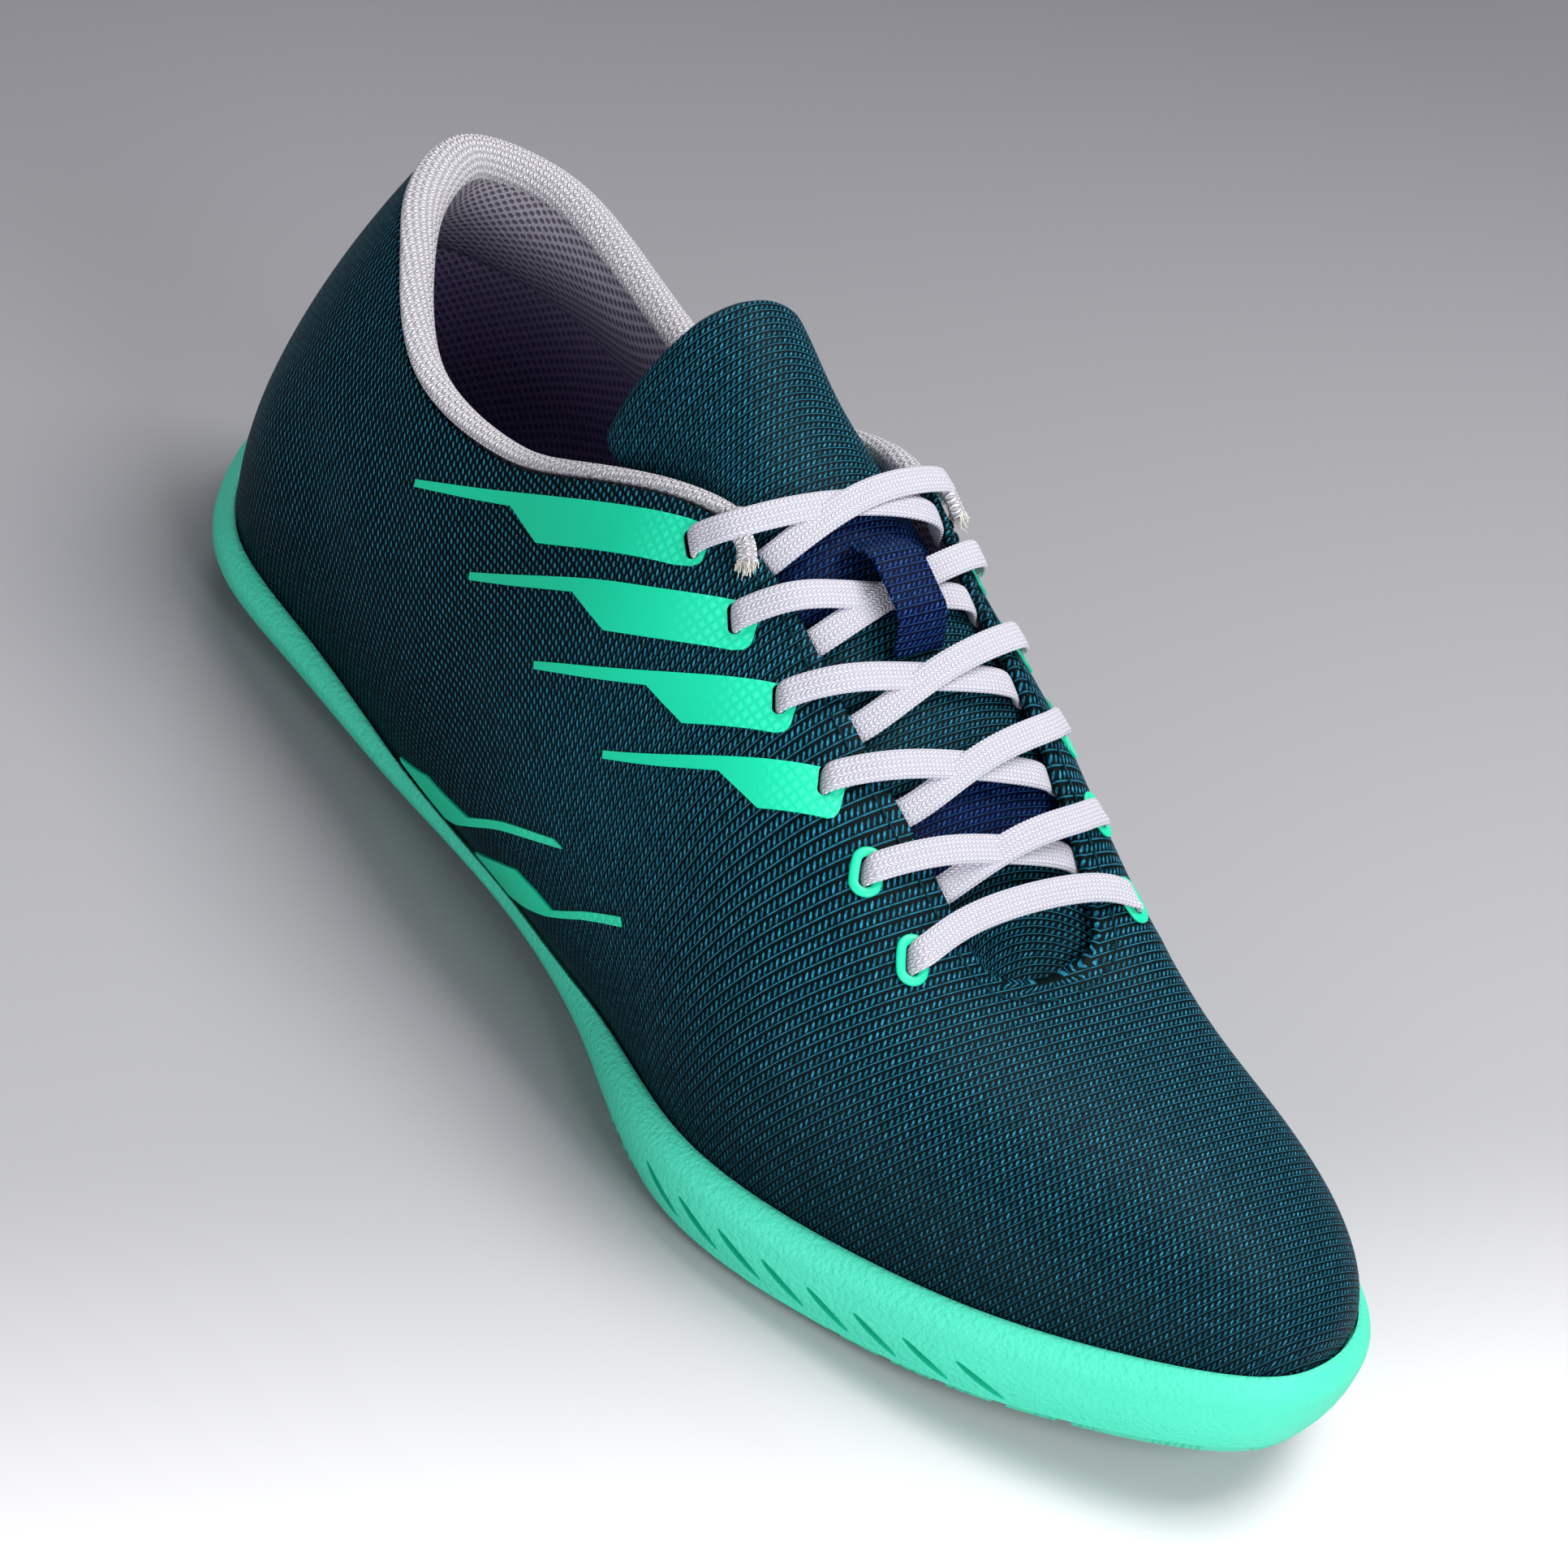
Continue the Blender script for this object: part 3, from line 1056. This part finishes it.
def makeTongue():
    top = resample(resample(tongueRows(), tongueLook["columns"], 1), tongueLook["rows"], 0)
    normal = np.cross(np.gradient(top, axis=0), np.gradient(top, axis=1))
    normal /= np.linalg.norm(normal, axis=-1)[..., None]
    normal *= np.sign(normal[len(top) // 2, top.shape[1] // 2, 2])
    width = arcLength(top, 1)
    down = -arcLength(top[:, top.shape[1] // 2])[:, None] + 0 * width
    chart = np.stack([down, width - width[:, -1:] / 2], -1) * 1000
    across = np.minimum(width, arcLength(top[:, ::-1], 1)[:, ::-1])
    along = arcLength(top)
    ends = np.minimum(along, along[-1] - along)
    inset = np.minimum(across, ends)
    rounding = 1 - np.clip(inset / tongueLook["edge"], 0, 1)
    drop = tongueLook["thickness"] / 2 * (1 - np.sqrt(np.clip(1 - rounding ** 2, 0, 1)))
    upper = top - normal * drop[..., None]
    under = top - normal * (tongueLook["thickness"] - drop)[..., None]
    under[0], under[-1] = upper[0], upper[-1]
    under[:, 0], under[:, -1] = upper[:, 0], upper[:, -1]
    tongue = addGrid("paddedTongue", [upper, under], [chart] * 2, [materials["tongue"]], flip=[False, True])
    tidyMesh(tongue, merge=1e-5)
    keep(tongue, "tongue_fabric", "tongue")
    print("tongue made")
    return top


# Flat bands: laces and the tongue's loop
laceLook = {"width": 0.0050, "height": 0.0012, "rise": 0.0012, "steps": 74, "tuck": 0.0022,
            "lowerPass": -0.0003, "upperPass": 0.00138, "crossingRises": (3.3, 0.4, 1.0, 1.0, 1.0),
            "outOfSlot": 0.0028, "edgeLift": 1.4, "ribStep": 0.10, "turnSpan": 0.3, "underUpper": 0.0012,
            "hiddenShares": (0.965, 0.93)}
# Where a strip comes up through its slot: out along the normal and towards the throat's edge
slotPath = ((-0.0040, -0.0003), (-0.0012, -0.0002), (0.0012, 0.0006))
loopLook = {"width": 0.0110, "height": 0.0010, "rise": 0.0056, "span": (0.496, 0.561), "gap": 0.0003,
            "soften": 7}


def smoothPath(knots, count):
    knots = np.asarray(knots, float)
    distance = np.concatenate([[0], np.cumsum(np.linalg.norm(np.diff(knots, axis=0), axis=1) ** 0.6)])
    at = np.linspace(0, distance[-1], count)
    path = np.stack([smoothCurve(distance, knots[:, axis], at) for axis in range(3)], -1)
    reach = arcLength(path)
    even = np.linspace(0, reach[-1], count)
    return np.stack([np.interp(even, reach, path[:, axis]) for axis in range(3)], -1)


def bandSections(path, across, width, height, power):
    ahead = np.gradient(path, axis=0)
    ahead /= np.linalg.norm(ahead, axis=1)[:, None]
    across = across - ahead * (across * ahead).sum(1)[:, None]
    across /= np.linalg.norm(across, axis=1)[:, None]
    normal = np.cross(ahead, across)
    flat = np.sin(np.linspace(-1, 1, 13) * pi / 2)
    top = [(s, (1 - abs(s) ** power) ** 0.5) for s in flat]
    ring = top + [(s, -h) for s, h in top[::-1][1:-1]]
    sections = np.array([[place + side * s * width / 2 + up * h * height / 2 for s, h in ring]
                         for place, side, up in zip(path, across, normal)])
    along = arcLength(path) * 1000
    chart = np.array([[(reach, s * width * 500) for s, h in ring] for reach in along])
    return sections, chart


def addBand(name, path, across, material, look, round=False):
    sections, chart = bandSections(path, across, look["width"], look["height"], 2 if round else 5)
    band = addGrid(name, sections, chart, [material], closed=True)
    tidyMesh(band, merge=1e-7)
    closeOpen(band)
    return band


def slotKnots(row, side):  # a strip's way out of its slot and over the throat's edge
    rib, share, _ = eyelets[row]
    centre, normal, length = (np.array(v) for v in slotFrame(row, side))
    toEdge = unit(lastPoint(rib + laceLook["ribStep"], 1.0, side) - centre)
    lift = 2 * shoe["gap"] + shoe["tabThickness"] + 0.6 * laceLook["height"]
    knots = [centre + normal * out + toEdge * ahead for out, ahead in slotPath]
    knots.append(lastPoint(rib, share, side, lift + 0.0002) + toEdge * laceLook["outOfSlot"])
    return knots, length if length[0] > 0 else -length, laceLook["edgeLift"] * lift


def blend(first, second, count):
    t = np.linspace(0, 1, count)[:, None]
    return first * (1 - t) + second * t


def laceStrip(row, side, over, farRib):
    knots, start, lift = slotKnots(row, side)
    edge = lastPoint(eyelets[row][0] + 0.12, 1.0, side, lift)
    far = lastPoint(farRib, 1.0, -side)
    inward = unit(far - lastPoint(farRib, 1.0, -side, 0.001))
    last = far + ribDirection(farRib, -side) * laceLook["tuck"] + inward * 0.0003
    middle = (edge + last) / 2 + np.array([0, 0, laceLook["rise"] * laceLook["crossingRises"][row] + over])
    depth = -(shoe["wall"] + laceLook["underUpper"])
    knots += [edge, middle, last + inward * 0.0010]
    knots += [lastPoint(farRib, share, -side, depth) for share in laceLook["hiddenShares"]]
    span = laceLook["turnSpan"]
    ahead = unit(lastPoint(farRib + span, 1.0, -side) - lastPoint(farRib - span, 1.0, -side))
    ahead = ahead if ahead @ start > 0 else -ahead
    return smoothPath(knots, laceLook["steps"]), blend(start, ahead, laceLook["steps"])


def makeLaces():
    lengths = []
    for row in range(len(eyelets) - 1):
        farRib = (eyelets[row][0] + eyelets[row + 1][0]) / 2 + laceLook["ribStep"]
        for side, over, name in ((-1, laceLook["lowerPass"], "near"), (1, laceLook["upperPass"], "far")):
            path, across = laceStrip(row, side, over, farRib)
            band = addBand(f"lace_{name}_{row + 1}", path, across, materials["lace"], laceLook)
            keep(band, "lace_braid", f"lace_crossing_{row + 1}")
            lengths.append(arcLength(path)[-1])
    row = len(eyelets) - 1
    knots, across = [], []
    for side in (-1, 1):
        arm, direction, lift = slotKnots(row, side)
        arm.append(lastPoint(eyelets[row][0] + laceLook["ribStep"], 1.0, side, lift))
        knots += arm if side < 0 else arm[::-1]
        across.append(direction)
    path = smoothPath(knots, laceLook["steps"])
    lengths.append(arcLength(path)[-1])
    bar = addBand("lace_bar", path, blend(*across, len(path)), materials["lace"], laceLook)
    keep(bar, "lace_braid", "lace_bar_6")
    print("laces made, strips in mm from the top down", np.round(np.array(lengths) * 1000, 1))


def makeTongueLoop():
    rows = tongueRows()[::-1]
    middle = (rows[:, 5] + rows[:, 6]) / 2
    shares = np.linspace(0, 1, 40)
    span = loopLook["span"]
    x = shoe["length"] * (span[0] + (span[1] - span[0]) * shares) + shoeShift[0]
    line = np.stack([x, *(smoothCurve(middle[:, 0], middle[:, axis], x) for axis in (1, 2))], -1)
    slope = np.gradient(line[:, 2], x)
    normals = np.stack([-slope, 0 * slope, 1 + 0 * slope], -1) / np.hypot(slope, 1)[:, None]
    arch = loopLook["rise"] * np.clip(1.5 * np.sin(pi * shares), 0, 1)
    lift = loopLook["gap"] + loopLook["height"] / 2 + arch
    kernel = np.ones(loopLook["soften"]) / loopLook["soften"]
    lift = np.convolve(np.pad(lift, loopLook["soften"] // 2, mode="edge"), kernel, "valid")
    path = line + normals * lift[:, None]
    across = np.repeat(np.array([[0.0, 1.0, 0.0]]), len(path), 0)
    loop = addBand("tongueLoop", path, across, materials["navy"], loopLook)
    keep(loop, "navy_webbing", "tongue_loop")


# Moulded film: eyelet tabs, rings and side flashes on the upper
filmLook = {"underside": 0.00002, "lift": 0.00045, "tabWidth": 0.0083, "tail": 0.0024, "sharp": 35,
            "ringWidth": 0.0017, "ringUnderside": 0.00005, "ringLift": 0.0008, "ringSteps": 12,
            "ringChart": -30.0}
tabRows = (  # upper edge from tail to tip as rib and share, then where the shoulder and the block start
    (3.48, 0.760, 6.17, 0.980, 0.36, 0.49), (4.47, 0.675, 6.89, 0.935, 0.45, 0.58),
    (5.71, 0.568, 7.59, 0.920, 0.48, 0.62), (6.79, 0.522, 8.32, 0.925, 0.52, 0.68))
# Share along the tail and its depth, then share along the block with its lower and upper edge
tailOutline = ((0.0, 0.55), (0.5, 0.80), (1.0, 1.00))
tabOutline = ((0.00, 1.00, 0.00), (0.35, 1.00, 0.00), (0.68, 1.00, 0.00), (0.86, 1.00, 0.01),
              (0.95, 0.94, 0.05), (0.99, 0.84, 0.12), (1.00, 0.76, 0.18))
flashRows = (  # rib and share of the lower edge, then of the upper edge, from the sole to the tip
    ((4.25, 0.045, 4.22, 0.056), (4.60, 0.045, 4.44, 0.092), (4.91, 0.045, 4.67, 0.133),
     (5.20, 0.090, 5.10, 0.155), (5.46, 0.133, 5.54, 0.170), (6.15, 0.230, 6.16, 0.252),
     (6.90, 0.325, 6.78, 0.325)),
    ((5.58, 0.045, 5.54, 0.056), (5.88, 0.045, 5.98, 0.118), (6.16, 0.045, 6.43, 0.182),
     (6.55, 0.105, 6.72, 0.190), (6.89, 0.160, 6.96, 0.190), (7.32, 0.238, 7.32, 0.258),
     (7.75, 0.305, 7.69, 0.318)))


def placeNear(rib, share, side, target):  # rib and share of the last's point nearest to a target
    for _ in range(3):
        here = lastPoint(rib, share, side)
        ahead = (lastPoint(rib + 0.05, share, side) - here) / 0.05
        above = (lastPoint(rib, share + 0.01, side) - here) / 0.01
        miss = target - here
        aa, ab, bb = (ahead ** 2).sum(-1), (ahead * above).sum(-1), (above ** 2).sum(-1)
        da, db = (miss * ahead).sum(-1), (miss * above).sum(-1)
        area = aa * bb - ab ** 2
        rib = rib + (da * bb - db * ab) / area
        share = share + (db * aa - da * ab) / area
    return rib, share


def stripEdges(rib, share, below, above, side):
    points = lastPoint(rib, share, side)
    across = np.cross(lastPoint(rib, share, side, 0.001) - points, np.gradient(points, axis=0))
    across *= np.where(across[..., 2:] < 0, -1, 1) / np.linalg.norm(across, axis=-1)[..., None]
    lower = placeNear(rib, share, side, points - across * below[..., None])
    upper = placeNear(rib, share, side, points + across * above[..., None])
    return np.stack(lower, -1), np.stack(upper, -1)


def addFilm(name, side, lower, upper, columns=9):  # thin strip on the upper with a soft edge
    t = np.linspace(0, 1, columns)[None, :, None]
    places = lower[:, None] * (1 - t) + upper[:, None] * t
    low = skinPoint(places[..., 0], places[..., 1], side, filmLook["underside"])
    high = skinPoint(places[..., 0], places[..., 1], side, filmLook["lift"])
    along = arcLength(high.mean(1))[:, None] * 1000
    chart = np.stack([along - along[-1] + 0 * arcLength(high, 1), arcLength(high, 1) * 1000], -1)
    piece = addGrid(name, [high, low], [chart, chart], [materials["film"]], flip=[False, True])
    closeOpen(piece, bridge=True)
    piece.data.shade_smooth()
    piece.data.set_sharp_from_angle(angle=radians(filmLook["sharp"]))
    return piece


def makeTab(row, sideName, cutter):
    side = sides[sideName]
    tailRib, tailShare, tipRib, tipShare, shoulder, block = tabRows[row]
    outlineRows = [(shoulder * t, filmLook["tail"] * depth, 0.0) for t, depth in tailOutline]
    outlineRows += [(block + (1 - block) * t, filmLook["tabWidth"] * low, -filmLook["tabWidth"] * high)
                    for t, low, high in tabOutline]
    at, below, above = np.array(outlineRows).T
    fine = np.linspace(0, len(at) - 1, 6 * (len(at) - 1) + 1)
    at, below, above = (np.interp(fine, np.arange(len(column)), column) for column in (at, below, above))
    tail, tip = lastPoint(tailRib, tailShare, side), lastPoint(tipRib, tipShare, side)
    guess = tailRib + (tipRib - tailRib) * at, tailShare + (tipShare - tailShare) * at
    rib, share = placeNear(*guess, side, tail + (tip - tail) * at[:, None])
    tab = addFilm(f"mintTab_{sideName}_{row + 1}", side, *stripEdges(rib, share, below, above, side))
    cutWith(tab, cutter, "slot")
    keep(tab, "mint_film", f"eyelet_tab_{sideName}_{row + 1}")


def makeRing(row, sideName):
    side = sides[sideName]
    rib, share, _ = eyelets[row]
    _, normal, length = (np.array(v) for v in slotFrame(row, side))
    width = np.cross(normal, length)
    around = np.linspace(0, 2 * pi, filmLook["ringSteps"], endpoint=False)
    angle, swing = np.meshgrid(np.linspace(0, 2 * pi, 49), around, indexing="ij")
    flat = (shoe["slotLength"] - shoe["slotWidth"]) / 2 * np.clip(np.cos(angle) * 3, -1, 1)
    bulge = np.sign(np.cos(swing)) * abs(np.cos(swing)) ** 0.6
    radius = shoe["slotWidth"] / 2 + filmLook["ringWidth"] * (0.5 + 0.5 * bulge)
    ahead, aside = flat + radius * np.cos(angle), radius * np.sin(angle)
    target = lastPoint(rib, share, side) + ahead[..., None] * length + aside[..., None] * width
    place = placeNear(rib + 0 * angle, share + 0 * angle, side, target)
    lift = filmLook["ringUnderside"] + filmLook["ringLift"] * (0.5 + 0.5 * np.sin(swing))
    sections = skinPoint(*place, side, lift)
    chart = np.zeros(sections.shape[:2] + (2,)) + filmLook["ringChart"]
    ring = addGrid(f"mintRing_{sideName}_{row + 1}", sections, chart, [materials["film"]], closed=True)
    tidyMesh(ring, merge=1e-6)
    keep(ring, "mint_film", f"eyelet_ring_{sideName}_{row + 1}")


def makeFlash(number, sideName):
    rows = np.array(flashRows[number])
    at = np.linspace(0, len(rows) - 1, 8 * (len(rows) - 1) + 1)
    fine = np.stack([np.interp(at, np.arange(len(rows)), rows[:, k]) for k in range(4)], -1)
    name = f"mintFlash_{sideName}_{number + 1}"
    flash = addFilm(name, sides[sideName], fine[:, :2], fine[:, 2:], columns=7)
    keep(flash, "mint_film", f"side_flash_{sideName}_{number + 1}")


# Cup sole
soleLook = {"stations": 190, "profile": 34, "sharp": 38, "slits": 8, "slitSpan": (0.672, 0.872),
            "slitLength": 0.0100, "slitWidth": 0.0015, "slitDepth": 0.0011, "slitEnds": (0.46, 0.12)}


def rimOut(rib):  # how far the upper has swelled at the cup's rim
    turn = footTurn(rib)
    top = shoe["heelHeight"] * ribValue("heel", rib) + shoe["instepHeight"] * ribValue("instep", rib)
    rise = top - featherHeight(alongOf(turn))
    belly = shoe["ballWidth"] * np.clip(ribValue("belly", rib), 0, 1)
    return shoe["cupDepth"] * belly / (rise * ribValue("bellyRise", rib))


def soleRow(rib, side, ridgeShare, undercutShare, heightShare, extra=0.0):
    turn = footTurn(rib)
    along = alongOf(turn)
    ridge = shoe["soleRidge"] * tableColumn(soleRidge, 1 if side < 0 else 2, along)
    undercut = shoe["soleRidge"] * tableColumn(soleRidge, 3, along)
    rim = rimOut(rib) + shoe["gap"]
    plan, _ = outline(turn, side, rim + ridge * ridgeShare - (undercut + rim) * undercutShare + extra)
    atX = np.clip((plan[:, 0] - shoe["soleRidge"]) / (shoe["length"] - 2 * shoe["soleRidge"]), 0, 1)
    floor = groundLine(atX) + shoe["tread"] + shoe["gap"]
    height = floor + (featherHeight(along) - floor) * heightShare
    return np.concatenate([plan, height[:, None]], -1) + shoeShift


def makeSole():
    ribAt = np.linspace(0, lastRib, soleLook["stations"] + 1)
    centre = centreAt(alongOf(footTurn(ribAt)))
    knots = np.arange(len(soleProfile))
    at = np.linspace(0, knots[-1], soleLook["profile"])
    profile = np.stack([smoothCurve(knots, [row[k] for row in soleProfile], at) for k in range(3)], -1)
    grids, charts = [], []
    for side in sides.values():
        rows = [soleRow(ribAt, side, *row) for row in profile]
        wall = soleRow(ribAt, side, 0.0, 0.0, 1.0, extra=shoe["gap"])
        floor = wall - np.array([0, 0, shoe["cupDepth"]])
        middle = floor.copy()
        middle[:, 1] = centre + shoeShift[1]
        under = rows[0].copy()
        under[:, 1] = middle[:, 1]
        grid = np.stack([under] + rows + [wall, floor, middle], 1)
        grids.append(grid)
        charts.append(grid[..., [0, 2]] * 1000)
    sole = addGrid("mintSole", grids, charts, [materials["rubber"], materials["groove"]], flip=[True, False])
    tidyMesh(sole, merge=1e-6)
    cutter = slitCutter()
    cutWith(sole, cutter, "slits")
    sole.data.shade_smooth()
    sole.data.set_sharp_from_angle(angle=radians(soleLook["sharp"]))
    bpy.data.objects.remove(cutter)
    keep(sole, "mint_rubber", "midsole")
    print("sole made,", len(sole.data.polygons), "faces")


def slitCutter():  # leaf-shaped slanted slits in the forefoot's side
    shape = bmesh.new()
    first, last = soleLook["slitSpan"]
    ribAt = np.linspace(0, lastRib, 241)
    for side in sides.values():
        for place in np.linspace(first, last, soleLook["slits"]):
            along = np.array([place, place + soleLook["slitLength"] / shoe["length"]])
            ridge = shoe["soleRidge"] * tableColumn(soleRidge, 1 if side < 0 else 2, along)
            rim = rimOut(np.interp(turnOf(along), ribValue("foot", ribAt), ribAt)) + shoe["gap"]
            plan, across = outline(turnOf(along), side, rim + ridge)
            ends = []
            for spot, share in zip(plan, soleLook["slitEnds"]):
                height = groundLine(place) + shoe["tread"] + shoe["soleEdge"] * share
                ends.append(Vector((*spot, height)) + Vector(shoeShift))
            outward = Vector((*across[0], 0.0))
            length = ends[1] - ends[0]
            width = length.cross(outward).normalized()
            deep = width.cross(length).normalized()
            leaf = bmesh.ops.create_uvsphere(shape, u_segments=16, v_segments=10, radius=1.0)["verts"]
            matrix = Matrix.Identity(4)
            centre = (ends[0] + ends[1]) / 2
            reach = soleLook["slitWidth"] / 2, soleLook["slitDepth"] * 1.5
            for row in range(3):
                matrix[row] = width[row] * reach[0], deep[row] * reach[1], length[row] / 2, centre[row]
            bmesh.ops.transform(shape, matrix=matrix, verts=leaf)
    for face in shape.faces:
        face.material_index = 1
    return finishShape(shape, "slitCutter", [materials["rubber"], materials["groove"]])


# Seams along the throat
seamLook = {"pitch": 0.0026, "stitch": 0.0019, "radius": 0.00028, "inset": 0.0034, "ribs": (6.55, 11.9),
            "lift": 0.00018}


def makeSeams():
    shape = bmesh.new()
    for side in sides.values():
        ribAt = np.linspace(*seamLook["ribs"], 400)
        length = np.array([arcLength(lastPoint(rib, np.linspace(0, 1, 20), side))[-1] for rib in ribAt])
        line = skinPoint(ribAt, 1 - seamLook["inset"] / length, side, seamLook["lift"])
        reach = arcLength(line)
        for start in np.arange(0, reach[-1] - seamLook["stitch"], seamLook["pitch"]):
            places = (start, start + seamLook["stitch"])
            ends = [np.array([np.interp(at, reach, line[:, k]) for k in range(3)]) for at in places]
            addStitch(shape, *ends)
    finishFibres(shape, "throatSeam", materials["seam"], "mesh_fabric")


def addStitch(shape, start, end):
    axis = Vector(end - start)
    verts = bmesh.ops.create_uvsphere(shape, u_segments=8, v_segments=6, radius=1.0)["verts"]
    turn = axis.to_track_quat("Z", "Y").to_matrix().to_4x4()
    scale = Matrix.Diagonal((seamLook["radius"], seamLook["radius"], axis.length / 2, 1))
    place = Matrix.Translation(Vector((start + end) / 2))
    bmesh.ops.transform(shape, matrix=place @ turn @ scale, verts=verts)


makeCamera()
makeStage()
slots = makeUpper()
makeLining()
makeTongue()
makeTongueLoop()
makeLaces()
for sideName in sides:
    for row in range(len(eyelets)):
        if row < len(tabRows):
            makeTab(row, sideName, slots)
        else:
            makeRing(row, sideName)
    for number in range(len(flashRows)):
        makeFlash(number, sideName)
bpy.data.objects.remove(slots)
makeSole()
makeSeams()
for node, material in (("insole", "insole"), ("outsole_heel", "clear"), ("outsole_forefoot", "clear")):
    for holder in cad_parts[node].material_slots:
        holder.material = materials[material]
print("all pieces made")
